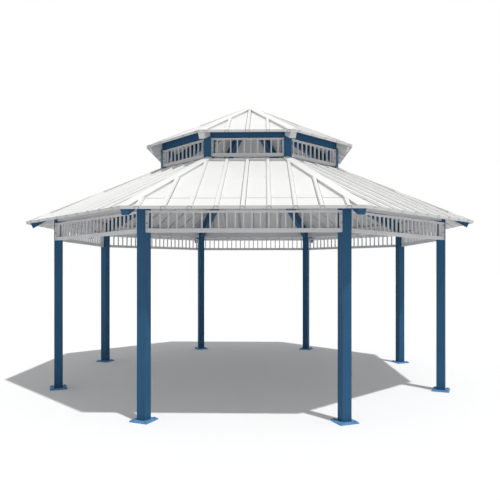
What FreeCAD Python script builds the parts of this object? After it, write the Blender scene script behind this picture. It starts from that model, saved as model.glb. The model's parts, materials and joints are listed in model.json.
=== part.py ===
import FreeCAD, Part
import os
import re
import Sketcher

doc = FreeCAD.newDocument("Gazebo")

# Sizes of the eight sided gazebo, in millimetres
amounts = {
    # Plan
    "across_flats": 6000,       # column centre lines, side to side
    "cupola_flats": 2850,       # cupola post centre lines, side to side
    # Columns and feet
    "column_size": 127,         # square column, outside
    "column_wall": 6,           # column wall
    "column_corner": 4,         # column corner bevel
    "plate_size": 254,          # base plate, square
    "plate_thick": 19,          # base plate thickness
    "plate_hole": 22,           # anchor hole diameter
    "hole_inset": 35,           # anchor hole centre to plate edge
    # Roof planes
    "roof_pitch": 0.5,          # rise for each unit of run
    "eave_height": 2802,        # lower deck underside over the column line
    "cupola_rise": 471,         # upper deck plane above the lower deck plane
    "lower_overhang": 435,      # lower deck edge outside the column line
    "upper_overhang": 291,      # upper deck edge outside the cupola line
    "head_clear": 30,           # lower deck head edge to the cupola posts
    "apex_clear": 60,           # upper deck sheets stop short of the axis
    # Ribbed sheets
    "sheet_thick": 3,           # sheet, measured upright
    "rib_height": 36,           # rib above the pan, measured upright
    "rib_foot": 58,             # rib width at the pan
    "rib_crown": 38,            # rib width at the top
    "rib_pitch": 308,           # rib to rib
    "hip_joint": 4,             # sheet edge to the hip line
    # Hip rafters
    "hip_width": 102,           # lower hip rafter width
    "hip_depth": 178,           # lower hip rafter depth
    "hip_wall": 5,              # hip rafter wall
    "tail_depth": 89,           # lower rafter tail depth at its end
    "tail_setback": 98,         # lower rafter tail back from the deck corner
    "hip_head_run": 72,         # lower rafter head inside the cupola post centre
    "crown_width": 102,         # upper hip rafter width
    "crown_depth": 152,         # upper hip rafter depth
    "crown_tail": 98,           # upper rafter tail depth
    "crown_setback": 93,        # upper rafter tail back from the deck corner
    "bearing_gap": 0.3,         # deck underside above the hip rafters
    "hub_margin": 8,            # crown hub flat wider than the rafters, each side
    "hub_wall": 10,             # crown hub wall
    "hub_drop": 12,             # crown hub below the rafters
    "hub_clear": 6,             # crown hub top below the rafter tops
    # Beams
    "beam_width": 76,           # eave beam width
    "beam_depth": 150,          # eave beam depth
    "beam_wall": 5,             # beam wall
    "ring_width": 76,           # ring beam width
    "ring_depth": 102,          # ring beam depth
    "ring_bearing": 12,         # ring beam face outside the deck head edge
    "tie_width": 76,            # cupola tie beam width
    "tie_face": 60,             # cupola tie beam face outside the cupola line
    "tie_depth": 136,           # cupola tie beam depth
    # Cupola posts
    "post_size": 127,           # square post, outside
    "post_wall": 6,             # post wall
    # Lower frieze panels
    "frieze_gap": 26,           # frieze panel top to the eave beam
    "frieze_height": 270,       # panel height
    "frieze_face": 57,          # panel outer face outside the column line
    "rail_size": 50,            # bottom rail, square
    "rail_top": 25,             # top rail height
    "picket_size": 19,          # square picket
    "picket_pitch": 103.2,      # picket to picket
    "picket_end": 18,           # least gap beside the last picket
    "lug_width": 68,            # end plate width
    "lug_edge": 8,              # end plate edge to the post's outer face
    "lug_thick": 6,             # end plate thickness
    # Cupola frieze panels
    "grille_gap": 10,           # panel top to the tie beam
    "grille_clear": 72,         # panel underside above the lower deck head
    "grille_face": 57,          # panel outer face outside the cupola line
    "grille_rail": 50,          # bottom rail height
    "grille_top": 20,           # top rail height
    "grille_pitch": 103.2,      # picket to picket
    # Flashings
    "cap_wing": 88,             # hip cap, ridge line to edge in plan
    "cap_thick": 4,             # hip cap, measured upright
    "cap_gap": 2,               # hip cap head to the cupola post
    "cap_joint": 15,            # upper hip cap head past the point where caps meet
    "apex_lap": 15,             # apex cap edge past the hip cap heads
    "apex_thick": 3,            # apex cap, measured upright
    "trim_thick": 3,            # eave trim thickness
    "trim_joint": 1,            # eave trim end to the hip plane
    "closure_thick": 3,         # head closure thickness
    "closure_height": 35,       # head closure height
}
sizes = doc.addObject("Spreadsheet::Sheet", "Sizes")
for index, alias in enumerate(amounts):
    cell = "B%d" % (index + 1)
    sizes.set("A%d" % (index + 1), alias)
    sizes.set(cell, str(amounts[alias]))
    sizes.setAlias(cell, alias)
doc.recompute()

# Shared lines: axis to the column line and to the cupola line
COLUMN_LINE = "(across_flats/2)"
CUPOLA_LINE = "(cupola_flats/2)"
COLUMN_RADIUS = "(across_flats/2/cos(22.5))"
CUPOLA_RADIUS = "(cupola_flats/2/cos(22.5))"
LOWER_EDGE = "(across_flats/2+lower_overhang)"
UPPER_EDGE = "(cupola_flats/2+upper_overhang)"
LOWER_HEAD = "(cupola_flats/2+post_size/2*(cos(22.5)+sin(22.5))+head_clear)"

# Heights at which the deck undersides would meet the axis
LOWER_APEX = "(eave_height+roof_pitch*across_flats/2)"
UPPER_APEX = "(eave_height+roof_pitch*across_flats/2+cupola_rise)"
HIP_RISE = "(roof_pitch*cos(22.5))"
HIP_LENGTH = "(sqrt(1+(roof_pitch*cos(22.5))^2))"


def formula(text):
    return re.sub(r"[a-z_]+", lambda m: "Sizes." + m.group() if m.group() in amounts else m.group(), text)


def value(text):
    return float(sizes.evalExpression(formula(text)))


def bind(item, name, text):
    item.setExpression(name, formula(text))


# Height of a deck underside at a distance from the axis
def deck(apex, run):
    return "(%s-roof_pitch*(%s))" % (apex, run)


# Top and underside of a hip rafter at a radius
def rafter_top(apex, width, radius):
    return "(%s-bearing_gap-roof_pitch*sin(22.5)*%s/2-%s*(%s))" % (apex, width, HIP_RISE, radius)


def rafter_foot(apex, width, depth, radius):
    return "(%s-%s*%s)" % (rafter_top(apex, width, radius), depth, HIP_LENGTH)


# Half length, at a distance from the axis, of a piece that ends beside a corner post
def reach(run, offset):
    return "((%s)*tan(22.5)-(%s)/cos(22.5))" % (run, offset)


def body(label):
    item = doc.addObject("PartDesign::Body", label)
    item.Label = label
    return item


def sketch(owner, name, role, outlines, lift=None):
    item = owner.newObject("Sketcher::SketchObject", name)
    for plane in owner.Origin.OriginFeatures:
        if plane.Role == role:
            item.AttachmentSupport = [(plane, "")]
    item.MapMode = "FlatFace"
    if lift:
        bind(item, "AttachmentOffset.Base.z", lift)
    for outline in outlines:
        first = item.GeometryCount
        count = len(outline)
        points = [FreeCAD.Vector(value(a), value(b), 0) for a, b in outline]
        for i in range(count):
            item.addGeometry(Part.LineSegment(points[i], points[(i + 1) % count]), False)
        for i in range(count):
            item.addConstraint(Sketcher.Constraint("Coincident", first + i, 2, first + (i + 1) % count, 1))
        for i in range(count):
            across = item.addConstraint(Sketcher.Constraint("DistanceX", -1, 1, first + i, 1, points[i].x))
            upward = item.addConstraint(Sketcher.Constraint("DistanceY", -1, 1, first + i, 1, points[i].y))
            bind(item, "Constraints[%d]" % across, outline[i][0])
            bind(item, "Constraints[%d]" % upward, outline[i][1])
    return item


def box_outline(left, right, low, high):
    return [(left, low), (right, low), (right, high), (left, high)]


def octagon(half):
    side = "(%s)*tan(22.5)" % half
    return [
        ("(%s)" % half, "-" + side),
        ("(%s)" % half, side),
        (side, "(%s)" % half),
        ("-" + side, "(%s)" % half),
        ("-(%s)" % half, side),
        ("-(%s)" % half, "-" + side),
        ("-" + side, "-(%s)" % half),
        (side, "-(%s)" % half),
    ]


def pad(owner, name, profile, length, both=False, slope=None):
    item = owner.newObject("PartDesign::Pad", name)
    item.Profile = profile
    bind(item, "Length", length)
    if both:
        item.SideType = "Symmetric"
    if slope:
        sloping(item, slope)
    return item


def pocket(owner, name, profile, length=None, slope=None):
    item = owner.newObject("PartDesign::Pocket", name)
    item.Profile = profile
    if length:
        bind(item, "Length", length)
    else:
        item.Type = "ThroughAll"
        item.SideType = "Symmetric"
    if slope:
        sloping(item, slope)
    return item


# A run along the fall of the roof keeps both end faces upright
def sloping(item, slope):
    item.UseCustomVector = True
    item.AlongSketchNormal = True
    item.Direction = slope[0]
    bind(item, "Direction.z", slope[1])


def row(owner, name, features, length, count):
    item = owner.newObject("PartDesign::LinearPattern", name)
    item.Originals = features
    axis = [a for a in owner.Origin.OriginFeatures if a.Role == "X_Axis"][0]
    item.Direction = (axis, [""])
    bind(item, "Length", length)
    bind(item, "Occurrences", count)
    owner.Tip = item
    return item


def ring(owner, name, features, count, angle):
    item = owner.newObject("PartDesign::PolarPattern", name)
    item.Originals = features
    axis = [a for a in owner.Origin.OriginFeatures if a.Role == "Z_Axis"][0]
    item.Axis = (axis, [""])
    item.Angle = angle
    item.Occurrences = count
    owner.Tip = item
    return item


def around(owner, name):
    doc.recompute()
    item = owner.newObject("PartDesign::PolarPattern", name)
    item.TransformMode = "Whole shape"
    axis = [a for a in owner.Origin.OriginFeatures if a.Role == "Z_Axis"][0]
    item.Axis = (axis, [""])
    item.Angle = 360
    item.Occurrences = 8
    owner.Tip = item
    return item


# Pieces on a corner are drawn along X and turned half a side onto the corner
def on_corner(owner):
    owner.Placement = FreeCAD.Placement(FreeCAD.Vector(0, 0, 0), FreeCAD.Rotation(FreeCAD.Vector(0, 0, 1), 22.5))


# Pieces on a side are drawn at the front and turned to their side
def on_side(owner, number):
    turn = FreeCAD.Rotation(FreeCAD.Vector(0, 0, 1), 45 * (number - 1))
    owner.Placement = FreeCAD.Placement(FreeCAD.Vector(0, 0, 0), turn)


# Base plates with four anchor holes each
plates = body("base_plates")
plate_outline = box_outline(
    COLUMN_RADIUS + "-plate_size/2",
    COLUMN_RADIUS + "+plate_size/2",
    "-plate_size/2",
    "plate_size/2",
)
plate_pad = pad(plates, "PlatePad", sketch(plates, "PlateSketch", "XY_Plane", [plate_outline]), "plate_thick")
doc.recompute()
ring(plates, "PlateRing", [plate_pad], 8, 360)

# Round holes in three plates, at the front and the right
round_holes = sketch(plates, "RoundSketch", "XY_Plane", [])
facet_outlines = []
for radial in ("-", "+"):
    for across in ("-", "+"):
        hole_x = "(%s%s(plate_size/2-hole_inset))" % (COLUMN_RADIUS, radial)
        hole_y = "(%s(plate_size/2-hole_inset))" % across
        centre = FreeCAD.Vector(value(hole_x), value(hole_y), 0)
        outline = Part.Circle(centre, FreeCAD.Vector(0, 0, 1), value("plate_hole/2"))
        circle = round_holes.addGeometry(outline, False)
        at_x = round_holes.addConstraint(Sketcher.Constraint("DistanceX", -1, 1, circle, 3, centre.x))
        at_y = round_holes.addConstraint(Sketcher.Constraint("DistanceY", -1, 1, circle, 3, centre.y))
        bore = round_holes.addConstraint(Sketcher.Constraint("Diameter", circle, value("plate_hole")))
        bind(round_holes, "Constraints[%d]" % at_x, hole_x)
        bind(round_holes, "Constraints[%d]" % at_y, hole_y)
        bind(round_holes, "Constraints[%d]" % bore, "plate_hole")
        facet_outlines.append([(hole_x + "+" + a, hole_y + "+" + b) for a, b in octagon("plate_hole/2")])
round_pocket = pocket(plates, "RoundHoles", round_holes)
doc.recompute()
ring(plates, "RoundRing", [round_pocket], 3, 90)

# The other five plates have eight sided holes of the same width
facet_holes = sketch(plates, "FacetSketch", "XY_Plane", facet_outlines)
facet_turn = FreeCAD.Rotation(FreeCAD.Vector(0, 0, 1), 135)
facet_holes.AttachmentOffset = FreeCAD.Placement(FreeCAD.Vector(0, 0, 0), facet_turn)
facet_pocket = pocket(plates, "FacetHoles", facet_holes)
doc.recompute()
ring(plates, "FacetRing", [facet_pocket], 5, 180)
plates.Placement = FreeCAD.Placement(FreeCAD.Vector(0, 0, 0), FreeCAD.Rotation(FreeCAD.Vector(0, 0, 1), -112.5))

# Columns, cut to the slope of the deck at the top
columns = body("columns")
near = COLUMN_RADIUS + "-column_size/2"
far = COLUMN_RADIUS + "+column_size/2"
column_outline = [
    (near, "plate_thick"),
    (far, "plate_thick"),
    (far, rafter_top(LOWER_APEX, "column_size", far)),
    (near, rafter_top(LOWER_APEX, "column_size", near)),
]
column_sketch = sketch(columns, "ColumnSketch", "XZ_Plane", [column_outline])
column_pad = pad(columns, "ColumnPad", column_sketch, "column_size", both=True)
doc.recompute()
corners = []
for index, edge in enumerate(column_pad.Shape.Edges):
    if abs(edge.tangentAt(edge.FirstParameter).z) > 0.999:
        corners.append("Edge%d" % (index + 1))
bevel = columns.newObject("PartDesign::Chamfer", "ColumnCorners")
bevel.Base = (column_pad, corners)
bind(bevel, "Size", "column_corner")
columns.Tip = bevel
inside = box_outline(
    near + "+column_wall",
    far + "-column_wall",
    "-column_size/2+column_wall",
    "column_size/2-column_wall",
)
pocket(columns, "ColumnBore", sketch(columns, "BoreSketch", "XY_Plane", [inside]))
around(columns, "ColumnRing")
on_corner(columns)


# Sloping box section rafter with plumb, open ends
def rafter(label, apex, width, depth, head, tail):
    item = body(label)
    profile = [
        (head, rafter_foot(apex, width, depth, head)),
        (tail, rafter_foot(apex, width, depth, tail)),
        (tail, rafter_top(apex, width, tail)),
        (head, rafter_top(apex, width, head)),
    ]
    pad(item, "Box", sketch(item, "BoxSketch", "XZ_Plane", [profile]), width, both=True)
    wall = "hip_wall*" + HIP_LENGTH
    start = "(%s-20)" % head
    stop = "(%s+20)" % tail
    core = [
        (start, rafter_foot(apex, width, depth, start) + "+" + wall),
        (stop, rafter_foot(apex, width, depth, stop) + "+" + wall),
        (stop, rafter_top(apex, width, stop) + "-" + wall),
        (start, rafter_top(apex, width, start) + "-" + wall),
    ]
    hollow = item.newObject("PartDesign::Pocket", "Core")
    hollow.Profile = sketch(item, "CoreSketch", "XZ_Plane", [core])
    hollow.SideType = "Symmetric"
    bind(hollow, "Length", width + "-2*hip_wall")
    around(item, "Ring")
    on_corner(item)
    return item


# Rafter tail from a plumb head to a closed, square cut end, its underside straight between two depths
def rafter_tail(label, apex, width, depth, end_depth, head, tail):
    item = body(label)
    wall = "hip_wall*" + HIP_LENGTH
    tip = "(%s+%s*%s/%s)" % (tail, end_depth, HIP_RISE, HIP_LENGTH)
    head_foot = rafter_foot(apex, width, depth, head)
    tail_foot = rafter_foot(apex, width, end_depth, tail)
    profile = [
        (head, head_foot),
        (tail, tail_foot),
        (tip, rafter_top(apex, width, tip)),
        (head, rafter_top(apex, width, head)),
    ]
    pad(item, "Box", sketch(item, "BoxSketch", "XZ_Plane", [profile]), width, both=True)
    slope = "((%s-%s)/(%s-%s))" % (tail_foot, head_foot, tail, head)
    lip = "(%s-hip_wall)" % tip
    core = [
        ("(%s-20)" % head, "%s-20*%s+%s" % (head_foot, slope, wall)),
        ("(%s-hip_wall)" % tail, "%s-hip_wall*%s+%s" % (tail_foot, slope, wall)),
        (lip, rafter_top(apex, width, lip) + "-" + wall),
        ("(%s-20)" % head, rafter_top(apex, width, "(%s-20)" % head) + "-" + wall),
    ]
    hollow = item.newObject("PartDesign::Pocket", "Core")
    hollow.Profile = sketch(item, "CoreSketch", "XZ_Plane", [core])
    hollow.SideType = "Symmetric"
    bind(hollow, "Length", width + "-2*hip_wall")
    around(item, "Ring")
    on_corner(item)
    return item


HUB_HALF = "(crown_width/2/tan(22.5)+hub_margin)"
LOWER_TAIL = "(%s/cos(22.5)-tail_setback)" % LOWER_EDGE
UPPER_TAIL = "(%s/cos(22.5)-crown_setback)" % UPPER_EDGE
COLUMN_IN = "(%s-column_size/2)" % COLUMN_RADIUS
COLUMN_OUT = "(%s+column_size/2)" % COLUMN_RADIUS
POST_IN = "(%s-post_size/2)" % CUPOLA_RADIUS
POST_FACE = "(%s+post_size/2)" % CUPOLA_RADIUS
HIP_HEAD = "(%s-hip_head_run)" % CUPOLA_RADIUS

# Hip rafters run to the inner faces of the columns and posts, their tails from the outer faces
rafter("hip_rafters", LOWER_APEX, "hip_width", "hip_depth", HIP_HEAD, COLUMN_IN)
rafter("upper_hip_rafters", UPPER_APEX, "crown_width", "crown_depth", HUB_HALF, POST_IN)
rafter_tail("lower_rafter_tails", LOWER_APEX, "hip_width", "hip_depth", "tail_depth", COLUMN_OUT, LOWER_TAIL)
rafter_tail("upper_rafter_tails", UPPER_APEX, "crown_width", "crown_tail", "crown_tail", POST_FACE, UPPER_TAIL)

# Crown hub, its flats square to the rafters
hub = body("apex_hub")
hub_low = rafter_foot(UPPER_APEX, "crown_width", "crown_depth", HUB_HALF) + "-hub_drop"
hub_high = rafter_top(UPPER_APEX, "crown_width", HUB_HALF) + "-hub_clear"
hub_sketch = sketch(hub, "HubSketch", "XY_Plane", [octagon(HUB_HALF)], hub_low)
pad(hub, "HubPad", hub_sketch, "%s-(%s)" % (hub_high, hub_low))
pocket(hub, "HubBore", sketch(hub, "HubBoreSketch", "XY_Plane", [octagon(HUB_HALF + "-hub_wall")]))
on_corner(hub)

# Cupola posts, standing on the lower hip rafters and cut to the slope of the upper deck
posts = body("cupola_posts")
inner = POST_IN
outer = POST_FACE
post_outline = [
    (inner, rafter_top(LOWER_APEX, "hip_width", inner)),
    (outer, rafter_top(LOWER_APEX, "hip_width", outer)),
    (outer, rafter_top(UPPER_APEX, "post_size", outer)),
    (inner, rafter_top(UPPER_APEX, "post_size", inner)),
]
pad(posts, "PostPad", sketch(posts, "PostSketch", "XZ_Plane", [post_outline]), "post_size", both=True)
post_inside = box_outline(
    inner + "+post_wall",
    outer + "-post_wall",
    "-post_size/2+post_wall",
    "post_size/2-post_wall",
)
pocket(posts, "PostBore", sketch(posts, "PostBoreSketch", "XY_Plane", [post_inside]))
around(posts, "PostRing")
on_corner(posts)


# Box section beam along a side, mitred to the faces of the corner posts
def beam(label, near_run, far_run, offset, low, depth, wall):
    item = body(label)
    plan = [
        ("-" + reach(near_run, offset), "-" + near_run),
        ("-" + reach(far_run, offset), "-" + far_run),
        (reach(far_run, offset), "-" + far_run),
        (reach(near_run, offset), "-" + near_run),
    ]
    pad(item, "BeamPad", sketch(item, "PlanSketch", "XY_Plane", [plan], low), depth)
    core = box_outline(
        "-(%s-%s)" % (far_run, wall),
        "-(%s+%s)" % (near_run, wall),
        "%s+%s" % (low, wall),
        "%s+%s-%s" % (low, depth, wall),
    )
    pocket(item, "BeamBore", sketch(item, "CoreSketch", "YZ_Plane", [core]))
    around(item, "Ring")
    return item


beam_near = "(%s-beam_width/2)" % COLUMN_LINE
beam_far = "(%s+beam_width/2)" % COLUMN_LINE
beam_low = "(%s-beam_depth)" % deck(LOWER_APEX, beam_far)
beam("eave_beams", beam_near, beam_far, "column_size/2", beam_low, "beam_depth", "beam_wall")

ring_far = "(%s+ring_bearing)" % LOWER_HEAD
ring_near = "(%s-ring_width)" % ring_far
ring_top = deck(LOWER_APEX, ring_far)
beam("ring_beams", ring_near, ring_far, "hip_width/2", "(%s-ring_depth)" % ring_top, "ring_depth", "beam_wall")

tie_far = "(%s+tie_face)" % CUPOLA_LINE
tie_near = "(%s-tie_width)" % tie_far
tie_low = "(%s-tie_depth)" % deck(UPPER_APEX, tie_far)
beam("cupola_tie_beams", tie_near, tie_far, "post_size/2", tie_low, "tie_depth", "beam_wall")


# Picket panel with rails and end plates
def picket_panel(label, line, post, face, low, height, rail, top, pitch):
    item = body(label)
    near_run = "(%s+%s-rail_size)" % (line, face)
    far_run = "(%s+%s)" % (line, face)
    end = "(%s/2+lug_thick)" % post
    plan = [
        ("-" + reach(near_run, end), "-" + near_run),
        ("-" + reach(far_run, end), "-" + far_run),
        (reach(far_run, end), "-" + far_run),
        (reach(near_run, end), "-" + near_run),
    ]
    pad(item, "BottomRail", sketch(item, "BottomSketch", "XY_Plane", [plan], low), rail)
    top_low = "(%s+%s-%s)" % (low, height, top)
    pad(item, "TopRail", sketch(item, "TopSketch", "XY_Plane", [plan], top_low), top)

    # End plates lie flat on the posts, drawn at the right and at the left
    outer_edge = "(%s/cos(22.5)+%s/2-lug_edge)" % (line, post)
    inner_edge = "(%s-lug_width)" % outer_edge
    plates_drawn = []
    for side in ("", "-"):
        corners_drawn = []
        for run, offset in (
            (inner_edge, "(%s/2)" % post),
            (outer_edge, "(%s/2)" % post),
            (outer_edge, end),
            (inner_edge, end),
        ):
            plate_x = "%s(%s*sin(22.5)-%s*cos(22.5))" % (side, run, offset)
            plate_y = "-(%s*cos(22.5)+%s*sin(22.5))" % (run, offset)
            corners_drawn.append((plate_x, plate_y))
        plates_drawn.append(corners_drawn)
    pad(item, "EndPlates", sketch(item, "EndSketch", "XY_Plane", plates_drawn, low), height)

    # Pickets between the rails, as many as fit at their pitch
    clear = "2*%s-picket_size-2*picket_end" % reach(near_run, end)
    count = "(floor((%s)/%s)+1)" % (clear, pitch)
    middle = "(%s-rail_size/2)" % far_run
    first = "(-(%s-1)*%s/2)" % (count, pitch)
    picket = box_outline(
        first + "-picket_size/2",
        first + "+picket_size/2",
        "-%s-picket_size/2" % middle,
        "-%s+picket_size/2" % middle,
    )
    picket_low = "(%s+%s)" % (low, rail)
    picket_sketch = sketch(item, "PicketSketch", "XY_Plane", [picket], picket_low)
    upright = pad(item, "Picket", picket_sketch, "%s-%s-%s" % (height, rail, top))
    doc.recompute()
    row(item, "PicketRow", [upright], "(%s-1)*%s" % (count, pitch), count)
    return item


frieze_low = "(%s-frieze_gap-frieze_height)" % beam_low
for number in range(1, 9):
    panel = picket_panel(
        "frieze_panel_%d" % number, COLUMN_LINE, "column_size", "frieze_face", frieze_low,
        "frieze_height", "rail_size", "rail_top", "picket_pitch",
    )
    on_side(panel, number)

grille_low = "(%s+grille_clear)" % deck(LOWER_APEX, LOWER_HEAD)
grille_height = "(%s-grille_gap-%s)" % (tie_low, grille_low)
grille = picket_panel(
    "cupola_friezes", CUPOLA_LINE, "post_size", "grille_face", grille_low,
    grille_height, "grille_rail", "grille_top", "grille_pitch",
)
around(grille, "Ring")


# Ribbed roof sheet, open under its ribs and trimmed along both hips
def ribbed_sheet(label, apex, head_run, edge_run):
    item = body(label)
    half = "((%s-rib_foot/2)/rib_pitch)" % reach(edge_run, "hip_joint")
    count = "(2*floor(%s)+1)" % half
    fall = (FreeCAD.Vector(0, -1, -0.5), "-roof_pitch")
    wide = "(%s*tan(22.5)+20)" % edge_run
    pan = box_outline("-" + wide, wide, apex, apex + "+sheet_thick")
    pad(item, "Pan", sketch(item, "PanSketch", "XZ_Plane", [pan]), edge_run, slope=fall)
    first = "(-(%s-1)*rib_pitch/2)" % count
    hat = [
        (first + "-rib_foot/2", apex),
        (first + "+rib_foot/2", apex),
        (first + "+rib_foot/2", apex + "+sheet_thick"),
        (first + "+rib_crown/2", apex + "+sheet_thick+rib_height"),
        (first + "-rib_crown/2", apex + "+sheet_thick+rib_height"),
        (first + "-rib_foot/2", apex + "+sheet_thick"),
    ]
    rib = pad(item, "Rib", sketch(item, "RibSketch", "XZ_Plane", [hat]), edge_run, slope=fall)
    flute = [
        (first + "-rib_foot/2+sheet_thick", apex + "-1"),
        (first + "+rib_foot/2-sheet_thick", apex + "-1"),
        (first + "+rib_foot/2-sheet_thick", apex),
        (first + "+rib_crown/2-sheet_thick", apex + "+rib_height"),
        (first + "-rib_crown/2+sheet_thick", apex + "+rib_height"),
        (first + "-rib_foot/2+sheet_thick", apex),
    ]
    under = sketch(item, "FluteSketch", "XZ_Plane", [flute])
    hollow = pocket(item, "Flute", under, length=edge_run, slope=fall)
    doc.recompute()
    row(item, "RibRow", [rib, hollow], "(%s-1)*rib_pitch" % count, count)
    doc.recompute()
    border = box_outline("-%s-60" % wide, wide + "+60", "-%s-60" % edge_run, "60")
    keep = [
        ("-" + reach(head_run, "hip_joint"), "-" + head_run),
        ("-" + reach(edge_run, "hip_joint"), "-" + edge_run),
        (reach(edge_run, "hip_joint"), "-" + edge_run),
        (reach(head_run, "hip_joint"), "-" + head_run),
    ]
    pocket(item, "HipTrim", sketch(item, "TrimSketch", "XY_Plane", [border, keep]))
    return item


for number in range(1, 9):
    lower = ribbed_sheet("lower_roof_panel_%d" % number, LOWER_APEX, LOWER_HEAD, LOWER_EDGE)
    on_side(lower, number)
for number in range(1, 9):
    upper = ribbed_sheet("upper_roof_panel_%d" % number, UPPER_APEX, "apex_clear", UPPER_EDGE)
    on_side(upper, number)


# Upright strip along a side
def strip(label, near_run, far_run, offset, low, height):
    item = body(label)
    plan = [
        ("-" + reach(near_run, offset), "-" + near_run),
        ("-" + reach(far_run, offset), "-" + far_run),
        (reach(far_run, offset), "-" + far_run),
        (reach(near_run, offset), "-" + near_run),
    ]
    pad(item, "StripPad", sketch(item, "StripSketch", "XY_Plane", [plan], low), height)
    around(item, "Ring")
    return item


LOWER_FACE = "(%s+trim_thick)" % LOWER_EDGE
UPPER_FACE = "(%s+trim_thick)" % UPPER_EDGE
trim_height = "sheet_thick+rib_height-roof_pitch*trim_thick"
strip("lower_eave_trims", LOWER_EDGE, LOWER_FACE, "trim_joint", deck(LOWER_APEX, LOWER_EDGE), trim_height)
strip("upper_eave_trims", UPPER_EDGE, UPPER_FACE, "trim_joint", deck(UPPER_APEX, UPPER_EDGE), trim_height)
closure_near = "(%s-closure_thick)" % LOWER_HEAD
strip("head_closures", closure_near, LOWER_HEAD, "post_size/2", ring_top, "closure_height")


# Folded hip cap on the rib tops, its lower end cut to both eave lines
def hip_cap(label, apex, head_radius, face_run):
    item = body(label)
    rest = "(%s+sheet_thick+rib_height-%s*(%s))" % (apex, HIP_RISE, head_radius)
    drop = "roof_pitch*sin(22.5)*cap_wing"
    fold = [
        ("-cap_wing", rest + "-" + drop),
        ("0", rest),
        ("cap_wing", rest + "-" + drop),
        ("cap_wing", rest + "-" + drop + "+cap_thick"),
        ("0", rest + "+cap_thick"),
        ("-cap_wing", rest + "-" + drop + "+cap_thick"),
    ]
    tip = "(%s/cos(22.5))" % face_run
    fall = (FreeCAD.Vector(1, 0, -0.46), "-" + HIP_RISE)
    fold_sketch = sketch(item, "FoldSketch", "YZ_Plane", [fold], head_radius)
    pad(item, "Fold", fold_sketch, "%s-%s" % (tip, head_radius), slope=fall)
    wing = "(cap_wing+20)"
    back = "((%s-%s*sin(22.5))/cos(22.5))" % (face_run, wing)
    corner = [
        (tip, "0"),
        (back, wing),
        (tip + "+20", wing),
        (tip + "+20", "-" + wing),
        (back, "-" + wing),
    ]
    pocket(item, "EaveCut", sketch(item, "EaveCutSketch", "XY_Plane", [corner]))
    around(item, "Ring")
    on_corner(item)
    return item


hip_cap("lower_hip_caps", LOWER_APEX, "(%s+cap_gap)" % POST_FACE, LOWER_FACE)
CAP_START = "(cap_wing/sin(22.5)+cap_joint)"
hip_cap("upper_hip_caps", UPPER_APEX, CAP_START, UPPER_FACE)

# Apex cap, eight flat faces on the upper hip caps
apex = body("apex_cap")
apex_fall = (FreeCAD.Vector(0, -1, -0.5), "-roof_pitch")
apex_low = UPPER_APEX + "+sheet_thick+rib_height+cap_thick"
APEX_REACH = "(%s*cos(22.5)+cap_wing*sin(22.5)+apex_lap)" % CAP_START
apex_wide = "(%s*tan(22.5)+20)" % APEX_REACH
apex_face = box_outline("-" + apex_wide, apex_wide, apex_low, apex_low + "+apex_thick")
pad(apex, "Face", sketch(apex, "FaceSketch", "XZ_Plane", [apex_face]), APEX_REACH, slope=apex_fall)
apex_border = box_outline("-%s-60" % apex_wide, apex_wide + "+60", "-%s-60" % APEX_REACH, "60")
apex_keep = [
    ("-%s*tan(22.5)" % APEX_REACH, "-" + APEX_REACH),
    ("%s*tan(22.5)" % APEX_REACH, "-" + APEX_REACH),
    ("0", "0"),
]
pocket(apex, "FaceTrim", sketch(apex, "FaceTrimSketch", "XY_Plane", [apex_border, apex_keep]))
around(apex, "Faces")

# Check and write every piece
doc.recompute()
for item in doc.Objects:
    if "Invalid" in item.State or "Error" in item.State:
        raise RuntimeError("%s did not build" % item.Name)
pieces = [item for item in doc.Objects if item.TypeId == "PartDesign::Body"]
os.makedirs("parts", exist_ok=True)
for item in pieces:
    if item.Shape.isNull() or not item.Shape.isValid():
        raise RuntimeError("%s has no sound shape" % item.Label)
    item.Shape.exportStep("parts/%s.step" % item.Label)
    print("%-24s solids %2d volume %.4f" % (item.Label, len(item.Shape.Solids), item.Shape.Volume / 1e9))
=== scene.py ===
import json
import math

import bpy
from mathutils import Matrix, Vector

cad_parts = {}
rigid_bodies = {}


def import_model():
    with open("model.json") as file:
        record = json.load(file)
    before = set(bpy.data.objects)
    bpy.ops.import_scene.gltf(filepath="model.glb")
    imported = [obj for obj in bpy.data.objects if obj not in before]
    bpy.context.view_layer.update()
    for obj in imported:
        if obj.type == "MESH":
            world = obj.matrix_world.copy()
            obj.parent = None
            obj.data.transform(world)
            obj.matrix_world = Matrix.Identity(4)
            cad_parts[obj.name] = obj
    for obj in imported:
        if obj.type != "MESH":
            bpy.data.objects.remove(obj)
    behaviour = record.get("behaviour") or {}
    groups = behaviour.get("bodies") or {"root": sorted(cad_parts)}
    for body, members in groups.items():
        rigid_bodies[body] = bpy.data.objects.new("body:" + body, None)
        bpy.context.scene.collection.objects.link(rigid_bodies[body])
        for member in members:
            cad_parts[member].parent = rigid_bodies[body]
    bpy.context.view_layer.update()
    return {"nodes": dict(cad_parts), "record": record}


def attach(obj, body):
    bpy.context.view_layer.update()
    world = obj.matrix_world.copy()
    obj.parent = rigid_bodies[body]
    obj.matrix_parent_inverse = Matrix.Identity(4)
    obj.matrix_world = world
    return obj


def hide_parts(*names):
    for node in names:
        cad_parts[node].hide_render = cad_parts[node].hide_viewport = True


for item in list(bpy.data.objects):
    bpy.data.objects.remove(item, do_unlink=True)
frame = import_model()
nodes = frame["nodes"]

# Plan of the eight sided frame, in metres
HALF_SIDE_TURN = math.radians(22.5)
SIDE_SLOPE = math.tan(HALF_SIDE_TURN)
COLUMN_LINE = 3.0
CUPOLA_LINE = 1.425
COLUMN_RADIUS = COLUMN_LINE / math.cos(HALF_SIDE_TURN)
CUPOLA_RADIUS = CUPOLA_LINE / math.cos(HALF_SIDE_TURN)
COLUMN_HALF = 0.0635
POST_HALF = 0.0635
PLATE_TOP = 0.019
HOLE_OFFSET = 0.092
UP = Vector((0, 0, 1))

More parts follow.
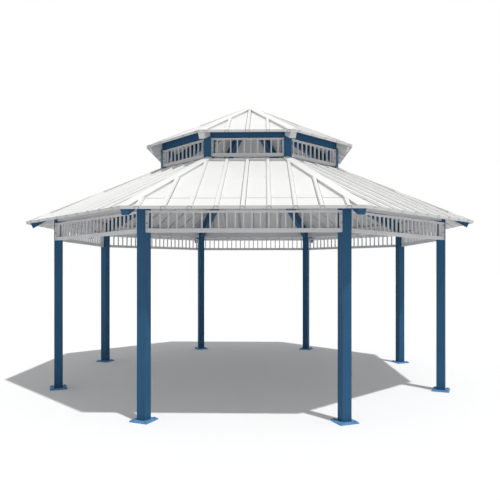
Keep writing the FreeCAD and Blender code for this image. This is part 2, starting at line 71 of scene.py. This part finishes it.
# Roof: planes at the axis, edges from the axis, sheet and rib sizes, ribs beside the middle one
PITCH = 0.5
LOWER_APEX = 4.302
UPPER_APEX = 4.773
LOWER_EDGE = 3.435
UPPER_EDGE = 1.716
LOWER_HEAD = 1.5379
SHEET = 0.003
RIB_HEIGHT = 0.036
RIB_FOOT = 0.058
RIB_CROWN = 0.038
RIB_PITCH = 0.308
LOWER_RIBS = 4
UPPER_RIBS = 2
LAP_LINE = 3.103
CAP_WING = 0.088
TRIM_THICK = 0.003

# Lower rafter tail: radius and height of its outline, and half its width
TAIL_OUTLINE = ((3.3110, 2.7110), (3.6200, 2.5216), (3.6573, 2.6026), (3.3110, 2.7625))
TAIL_HALF = 0.0510

# Bolts as rings of radius and height
ANCHOR_WASHER = [(0.0185, 0), (0.0185, 0.003)]
ANCHOR_HEAD = [(0.0173, 0.003), (0.0173, 0.0135), (0.0150, 0.0155)]
FRIEZE_WASHER = [(0.0125, 0), (0.0125, 0.002)]
FRIEZE_HEAD = [(0.0098, 0.002), (0.0098, 0.008), (0.0085, 0.0095)]
SCREW_WASHER = [(0.0080, 0), (0.0080, 0.0014), (0.0060, 0.0022)]
SCREW_HEAD = [(0.0042, 0.0018), (0.0042, 0.0058), (0.0034, 0.0066)]

# End plates of the friezes: thickness, bolt line inside the post's outer face, bolt heights
LUG_THICK = 0.006
LUG_BOLT_INSET = 0.021
LOWER_BOLT_HEIGHTS = (2.560, 2.450)
UPPER_BOLT_HEIGHTS = (3.845, 3.734)


# Directions of corner and side number k, counted from the front left corner and the front side
def corner_axes(k):
    angle = math.radians(-112.5 + 45 * k)
    radial = Vector((math.cos(angle), math.sin(angle), 0))
    return radial, Vector((-radial.y, radial.x, 0))


def side_matrix(k):
    return Matrix.Rotation(math.radians(45 * k), 4, "Z")


class Mesher:
    """Collects faces of one piece in plain lists."""

    def __init__(self):
        self.points = []
        self.faces = []
        self.smooth = []

    def add(self, points, faces, smooth=False):
        start = len(self.points)
        self.points += [tuple(p) for p in points]
        self.faces += [tuple(start + i for i in face) for face in faces]
        self.smooth += [smooth] * len(faces)

    def cap(self, start, count, flip):
        """A flat face on the count points from start."""
        ring = range(start, start + count)
        self.faces.append(tuple(reversed(ring)) if flip else tuple(ring))
        self.smooth.append(False)

    def prism(self, outline, lift):
        """A closed outline carried along the vector lift."""
        count = len(outline)
        low = [Vector(p) for p in outline]
        high = [p + lift for p in low]
        sides = [(i, (i + 1) % count, count + (i + 1) % count, count + i) for i in range(count)]
        self.add(low + high, sides)
        start = len(self.points) - 2 * count
        self.cap(start, count, True)
        self.cap(start + count, count, False)

    def lathe(self, centre, axis, across, profile, count, smooth=True):
        """Rings of radius and height along axis, closed at both ends."""
        third = axis.cross(across)
        points = []
        for radius, height in profile:
            for i in range(count):
                turn = 2 * math.pi * i / count
                spoke = across * math.cos(turn) + third * math.sin(turn)
                points.append(centre + spoke * radius + axis * height)
        faces = []
        for level in range(len(profile) - 1):
            low = level * count
            high = low + count
            for i in range(count):
                j = (i + 1) % count
                faces.append((low + i, low + j, high + j, high + i))
        self.add(points, faces, smooth)
        start = len(self.points) - len(points)
        self.cap(start, count, True)
        self.cap(start + len(points) - count, count, False)

    def build(self, name, material):
        mesh = bpy.data.meshes.new(name)
        mesh.from_pydata(self.points, [], self.faces)
        mesh.polygons.foreach_set("use_smooth", self.smooth)
        mesh.materials.append(material)
        mesh.update()
        item = bpy.data.objects.new(name, mesh)
        bpy.context.scene.collection.objects.link(item)
        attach(item, "root")
        return item


# Painted steel: colour, mean roughness, gloss level, colour of faces that look down (painted shade), change of
# tone
def painted(name, colour, rough=0.5, specular=0.3, under_shade=None, shift=0.06):
    material = bpy.data.materials.new(name)
    material.use_nodes = True
    tree = material.node_tree
    shader = tree.nodes["Principled BSDF"]
    shader.inputs["Metallic"].default_value = 0.0
    shader.inputs["Specular IOR Level"].default_value = specular
    place = tree.nodes.new("ShaderNodeTexCoord")

    # Slow change of tone over a piece
    cloud = tree.nodes.new("ShaderNodeTexNoise")
    cloud.inputs["Scale"].default_value = 1.7
    cloud.inputs["Detail"].default_value = 4.0
    tree.links.new(place.outputs["Object"], cloud.inputs["Vector"])
    tone = tree.nodes.new("ShaderNodeMapRange")
    tone.inputs["From Min"].default_value = 0.3
    tone.inputs["From Max"].default_value = 0.7
    tone.inputs["To Min"].default_value = 1.0 - shift
    tone.inputs["To Max"].default_value = 1.0 + shift
    tree.links.new(cloud.outputs["Fac"], tone.inputs["Value"])
    base = tree.nodes.new("ShaderNodeRGB")
    base.outputs[0].default_value = (*colour, 1)
    paint = base.outputs[0]

    # Painted shade: another, greyer colour on faces that look down
    if under_shade:
        back = tree.nodes.new("ShaderNodeRGB")
        back.outputs[0].default_value = (*under_shade, 1)
        facing = tree.nodes.new("ShaderNodeNewGeometry")
        split = tree.nodes.new("ShaderNodeSeparateXYZ")
        tree.links.new(facing.outputs["True Normal"], split.inputs[0])
        shade_mask = tree.nodes.new("ShaderNodeMath")
        shade_mask.operation = "LESS_THAN"
        shade_mask.inputs[1].default_value = -0.05
        tree.links.new(split.outputs["Z"], shade_mask.inputs[0])
        choose = tree.nodes.new("ShaderNodeMix")
        choose.data_type = "RGBA"
        tree.links.new(shade_mask.outputs[0], choose.inputs["Factor"])
        tree.links.new(paint, choose.inputs["A"])
        tree.links.new(back.outputs[0], choose.inputs["B"])
        paint = choose.outputs["Result"]
    vary = tree.nodes.new("ShaderNodeVectorMath")
    vary.operation = "SCALE"
    tree.links.new(paint, vary.inputs[0])
    tree.links.new(tone.outputs["Result"], vary.inputs["Scale"])
    tree.links.new(vary.outputs[0], shader.inputs["Base Color"])

    # Fine powder coat texture and a little change of gloss
    peel = tree.nodes.new("ShaderNodeTexNoise")
    peel.inputs["Scale"].default_value = 420.0
    peel.inputs["Detail"].default_value = 2.0
    tree.links.new(place.outputs["Object"], peel.inputs["Vector"])
    bump = tree.nodes.new("ShaderNodeBump")
    bump.inputs["Strength"].default_value = 0.25
    bump.inputs["Distance"].default_value = 0.0002
    tree.links.new(peel.outputs["Fac"], bump.inputs["Height"])
    tree.links.new(bump.outputs["Normal"], shader.inputs["Normal"])
    gloss = tree.nodes.new("ShaderNodeTexNoise")
    gloss.inputs["Scale"].default_value = 9.0
    gloss.inputs["Detail"].default_value = 5.0
    tree.links.new(place.outputs["Object"], gloss.inputs["Vector"])
    shine = tree.nodes.new("ShaderNodeMapRange")
    shine.inputs["To Min"].default_value = rough - 0.07
    shine.inputs["To Max"].default_value = rough + 0.07
    tree.links.new(gloss.outputs["Fac"], shine.inputs["Value"])
    tree.links.new(shine.outputs["Result"], shader.inputs["Roughness"])
    return material


# Greyer colour on the faces of roof sheets and caps that look down: painted shade under them
UNDERSIDE_SHADE = (0.58, 0.58, 0.58)
blue = painted("frame_blue", (0.027, 0.098, 0.196), rough=0.55, specular=0.12)
# Lighter copy of the frame blue for the base plates and anchor bolts: painted light on their lit tops
plate = painted("plate_blue", (0.115, 0.290, 0.540), rough=0.55, specular=0.12)
grey = painted("frieze_grey", (0.60, 0.60, 0.61))
sheet = painted("roof_sheet", (0.84, 0.84, 0.83), rough=0.45, under_shade=UNDERSIDE_SHADE, shift=0.02)
cap = painted("flashing", (0.86, 0.86, 0.85), rough=0.42, under_shade=UNDERSIDE_SHADE, shift=0.02)
# Trims grey against the white roof sheet: painted shade on their faces
trim_painted_shade = painted("eave_trim", (0.57, 0.57, 0.57), rough=0.42, shift=0.02)
# Near-black for strips where only shadow falls: painted shadow in the gaps at the rib ends, at the sheet laps
# and beside the side-lap ribs
seam = painted("seam_shadow", (0.05, 0.05, 0.055), rough=0.8, specular=0.1)
closure = painted("hip_closure", (0.74, 0.74, 0.74), rough=0.6, specular=0.15)
# Grey for the fine lines at the rib folds: painted shade
fold = painted("fold_shadow", (0.22, 0.22, 0.23), rough=0.7, specular=0.1)
zinc = painted("bolt_zinc", (0.30, 0.32, 0.34), rough=0.4, specular=0.5)

finishes = {"plate_blue": plate, "frame_blue": blue, "frieze_grey": grey, "roof_sheet": sheet, "flashing": cap}
for part in frame["record"]["subparts"]:
    solid = nodes[part["node"]]
    for index in range(len(solid.data.materials)):
        solid.data.materials[index] = finishes[part["material_slot"]]


# Anchor bolts with washers on the base plates, in the lighter plate blue that is painted light
anchors = Mesher()
welds = Mesher()
for k in range(8):
    radial, across = corner_axes(k)
    foot = radial * COLUMN_RADIUS
    for a in (-1, 1):
        for b in (-1, 1):
            centre = foot + radial * (a * HOLE_OFFSET) + across * (b * HOLE_OFFSET) + UP * PLATE_TOP
            anchors.lathe(centre, UP, radial, ANCHOR_WASHER, 24)
            anchors.lathe(centre, UP, radial, ANCHOR_HEAD, 6, smooth=False)

    # Weld bead round the foot of the column, short of its bevelled corners
    reach = COLUMN_HALF + 0.002
    half = COLUMN_HALF - 0.004
    for turn in range(4):
        out = Matrix.Rotation(math.radians(90 * turn), 4, "Z") @ radial
        along = Vector((-out.y, out.x, 0))
        start = foot + out * reach - along * half + UP * PLATE_TOP
        section = [
            start + out * -0.003,
            start + out * 0.005,
            start + out * 0.002 + UP * 0.005,
            start + out * -0.003 + UP * 0.007,
        ]
        welds.prism(section, along * (2 * half))
anchors.build("anchor_bolts", plate)
welds.build("foot_welds", blue)

# Lower rafter tails, shallow at the column and deepest at their square cut ends
tails = Mesher()
for k in range(8):
    radial, across = corner_axes(k)
    outline = [radial * radius - across * TAIL_HALF + UP * height for radius, height in TAIL_OUTLINE]
    tails.prism(outline, across * (2 * TAIL_HALF))
tail_piece = tails.build("rafter_tails", blue)
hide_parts("lower_rafter_tails")

# Bolt heads in the end plates of the frieze panels
heads = Mesher()
for k in range(8):
    radial, across = corner_axes(k)
    for side in (-1, 1):
        out = across * side
        for radius, face, heights in (
            (COLUMN_RADIUS + COLUMN_HALF - LUG_BOLT_INSET, COLUMN_HALF + LUG_THICK, LOWER_BOLT_HEIGHTS),
            (CUPOLA_RADIUS + POST_HALF - LUG_BOLT_INSET, POST_HALF + LUG_THICK, UPPER_BOLT_HEIGHTS),
        ):
            for height in heights:
                centre = radial * radius + out * face + UP * height
                heads.lathe(centre, out, UP, FRIEZE_WASHER, 20)
                heads.lathe(centre, out, UP, FRIEZE_HEAD, 6, smooth=False)
heads.build("frieze_bolts", zinc)


# Eave trims with the outline of a rib end at every rib, in the grey trim paint that is painted shade
def eave_trim(name, node, apex, edge, ribs):
    strip = Mesher()
    gap_shadows = Mesher()
    ends = Mesher()
    low = apex - PITCH * edge
    high = low + SHEET + RIB_HEIGHT - PITCH * TRIM_THICK
    half = (edge + TRIM_THICK / 2) * SIDE_SLOPE - 0.0005
    for k in range(8):
        turn = side_matrix(k)
        outline = [(-half, low), (half, low), (half, high), (-half, high)]
        strip.prism([turn @ Vector((x, -edge, z)) for x, z in outline], turn @ Vector((0, -0.0014, 0)))
        for n in range(-ribs, ribs + 1):
            for wide, tall, depth, store in ((0.031, 0.034, 0.0008, gap_shadows), (0.0262, 0.0295, 0.0017, ends)):
                arch = []
                for step in range(13):
                    angle = math.pi * step / 12
                    x = n * RIB_PITCH + wide * math.cos(angle)
                    z = low + 0.001 + tall * math.sin(angle) ** 0.8
                    arch.append(turn @ Vector((x, -edge - 0.0012, z)))
                store.prism(arch, turn @ Vector((0, -depth, 0)))
    item = strip.build(name, trim_painted_shade)
    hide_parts(node)
    # Near-black arches round the rib ends: painted shadow in the gaps
    gap_shadows.build(name + "_gaps", seam)
    ends.build(name + "_rib_ends", trim_painted_shade)


eave_trim("lower_trim", "lower_eave_trims", LOWER_APEX, LOWER_EDGE, LOWER_RIBS)
eave_trim("upper_trim", "upper_eave_trims", UPPER_APEX, UPPER_EDGE, UPPER_RIBS)

# Sheet laps: a thin edge, near-black as painted shadow, across the pans of each lower side
laps = Mesher()
limit = LAP_LINE * SIDE_SLOPE - 0.02
height = LOWER_APEX + SHEET - PITCH * LAP_LINE
for k in range(8):
    turn = side_matrix(k)
    for n in range(-LOWER_RIBS - 1, LOWER_RIBS + 1):
        left = max(n * RIB_PITCH + RIB_FOOT / 2, -limit)
        right = min((n + 1) * RIB_PITCH - RIB_FOOT / 2, limit)
        if right - left < 0.05:
            continue
        outline = [(left, height), (right, height), (right, height + 0.0012), (left, height + 0.0012)]
        points = [turn @ Vector((x, -LAP_LINE, z)) for x, z in outline]
        laps.prism(points, turn @ Vector((0, -0.005, -0.0025)))
laps.build("sheet_lap_shadows", seam)


# Closures between the ribs, a little inside the edges of the hip caps
def hip_closures(name, apex, head, edge, ribs):
    filler = Mesher()
    offset = (CAP_WING - 0.006) / math.cos(HALF_SIDE_TURN)
    levels = ((RIB_FOOT / 2, SHEET + 0.0003), (RIB_CROWN / 2, SHEET + RIB_HEIGHT - 0.0003))
    for k in range(8):
        turn = side_matrix(k)
        for side in (-1, 1):
            away = Vector((side * math.cos(HALF_SIDE_TURN), math.sin(HALF_SIDE_TURN), 0)) * 0.0015
            for n in range(-1, ribs + 1):
                outline = []
                for half, lift in levels:
                    start = (n * RIB_PITCH + half + offset) / SIDE_SLOPE + 0.002
                    stop = ((n + 1) * RIB_PITCH - half + offset) / SIDE_SLOPE - 0.002
                    pair = []
                    for run in (max(start, head), min(stop, edge)):
                        x = side * (run * SIDE_SLOPE - offset)
                        pair.append(Vector((x, -run, apex - PITCH * run + lift)))
                    outline += pair if not outline else pair[::-1]
                if outline[0].y - outline[1].y < 0.03:
                    continue
                filler.prism([turn @ p for p in outline], turn @ away)
    filler.build(name, closure)


hip_closures("lower_hip_closures", LOWER_APEX, LOWER_HEAD + 0.004, LOWER_EDGE, LOWER_RIBS)
hip_closures("upper_hip_closures", UPPER_APEX, 0.27, UPPER_EDGE, UPPER_RIBS)


# Painted shade in fine lines at the feet of the ribs: dark and wide at side laps, pale and narrow at plain
# folds
def rib_lines(name, apex, head, edge, ribs, wide, tall, material):
    lines = Mesher()
    lean = (RIB_FOOT - RIB_CROWN) / 2 / RIB_HEIGHT
    base = apex + SHEET + 0.0002
    for k in range(8):
        turn = side_matrix(k)
        for n in ribs:
            first = max(head, (abs(n) * RIB_PITCH + RIB_FOOT / 2 + 0.010) / SIDE_SLOPE)
            run = edge - 0.002 - first
            for side in (-1, 1):
                near = n * RIB_PITCH + side * (RIB_FOOT / 2 - 0.0006)
                far = n * RIB_PITCH + side * (RIB_FOOT / 2 + wide)
                top = near - side * lean * tall
                outline = [(near, base), (far, base), (top + side * 0.0012, base + tall), (top, base + tall)]
                points = [turn @ Vector((x, -first, z - PITCH * first)) for x, z in outline]
                lines.prism(points, turn @ Vector((0, -run, -PITCH * run)))
    lines.build(name, material)


LOWER_START = LOWER_HEAD + 0.01
UPPER_START = 0.30
LAP_SIZE = (0.0045, 0.0035)
FOLD_SIZE = (0.0020, 0.0040)
rib_lines("lower_side_lap_shadows", LOWER_APEX, LOWER_START, LOWER_EDGE, (-3, 0, 3), *LAP_SIZE, seam)
rib_lines("upper_side_lap_shadows", UPPER_APEX, UPPER_START, UPPER_EDGE, (0,), *LAP_SIZE, seam)
rib_lines("lower_rib_fold_shadows", LOWER_APEX, LOWER_START, LOWER_EDGE, (-4, -2, -1, 1, 2, 4), *FOLD_SIZE, fold)
rib_lines("upper_rib_fold_shadows", UPPER_APEX, UPPER_START, UPPER_EDGE, (-2, -1, 1, 2), *FOLD_SIZE, fold)

# Screws with washers in the pans beside the ribs, in rows over the beams, at the lap and at the eave
screws = Mesher()
lean = Vector((0, -PITCH, 1)).normalized()
for k in range(8):
    turn = side_matrix(k)
    axis = turn @ lean
    across = turn @ Vector((1, 0, 0))
    for apex, rows, ribs in (
        (LOWER_APEX, (3.37, 3.04, 2.30, 1.63), LOWER_RIBS),
        (UPPER_APEX, (1.66, 1.37), UPPER_RIBS),
    ):
        for run in rows:
            limit = run * SIDE_SLOPE - 0.14
            for n in range(-ribs, ribs + 1):
                for side in (-1, 1):
                    x = n * RIB_PITCH + side * (RIB_FOOT / 2 + 0.020)
                    if abs(x) > limit:
                        continue
                    centre = turn @ Vector((x, -run, apex + SHEET - PITCH * run))
                    screws.lathe(centre, axis, across, SCREW_WASHER, 12)
                    screws.lathe(centre, axis, across, SCREW_HEAD, 6, smooth=False)
screws.build("roof_screws", cap)

# Floor, white, keeping the shadow
bpy.ops.mesh.primitive_plane_add(size=400, location=(0, 0, 0))
floor = bpy.context.object
floor.name = "floor"
ground = bpy.data.materials.new("floor_white")
ground.use_nodes = True
shader = ground.node_tree.nodes["Principled BSDF"]
shader.inputs["Base Color"].default_value = (0.97, 0.97, 0.97, 1)
shader.inputs["Roughness"].default_value = 0.9
shader.inputs["Specular IOR Level"].default_value = 0.0
floor.data.materials.append(ground)

# World: soft even light, and plain white where the camera, gloss or glass looks past the object
world = bpy.data.worlds.new("studio")
bpy.context.scene.world = world
world.use_nodes = True
tree = world.node_tree
background = tree.nodes["Background"]
background.inputs["Color"].default_value = (1, 1, 1, 1)
rays = tree.nodes.new("ShaderNodeLightPath")
seen = tree.nodes.new("ShaderNodeMath")
seen.operation = "MAXIMUM"
tree.links.new(rays.outputs["Is Camera Ray"], seen.inputs[0])
tree.links.new(rays.outputs["Is Glossy Ray"], seen.inputs[1])
seen_too = tree.nodes.new("ShaderNodeMath")
seen_too.operation = "MAXIMUM"
tree.links.new(seen.outputs[0], seen_too.inputs[0])
tree.links.new(rays.outputs["Is Transmission Ray"], seen_too.inputs[1])
strength = tree.nodes.new("ShaderNodeMapRange")
strength.inputs["To Min"].default_value = 0.44
strength.inputs["To Max"].default_value = 1.0
tree.links.new(seen_too.outputs[0], strength.inputs["Value"])
tree.links.new(strength.outputs["Result"], background.inputs["Strength"])

# Key light from the front right, high up
lamp = bpy.data.lights.new("key", "SUN")
lamp.energy = 2.2
lamp.angle = math.radians(1.5)
key = bpy.data.objects.new("key", lamp)
key.rotation_euler = Vector((-0.729, 0.8075, -2.6)).to_track_quat("-Z", "Y").to_euler()
bpy.context.scene.collection.objects.link(key)

# Camera at the photograph's place
lens = bpy.data.cameras.new("camera")
lens.sensor_width = 36
lens.lens = 38.25
lens.shift_x = -0.002
lens.shift_y = 0.0386
lens.clip_end = 500
camera = bpy.data.objects.new("camera", lens)
camera.location = (0.2496, -9.571, 1.883)
camera.rotation_euler = (math.radians(90), 0, math.radians(1.395))
bpy.context.scene.collection.objects.link(camera)
bpy.context.scene.camera = camera
bpy.context.scene.view_settings.view_transform = "Standard"
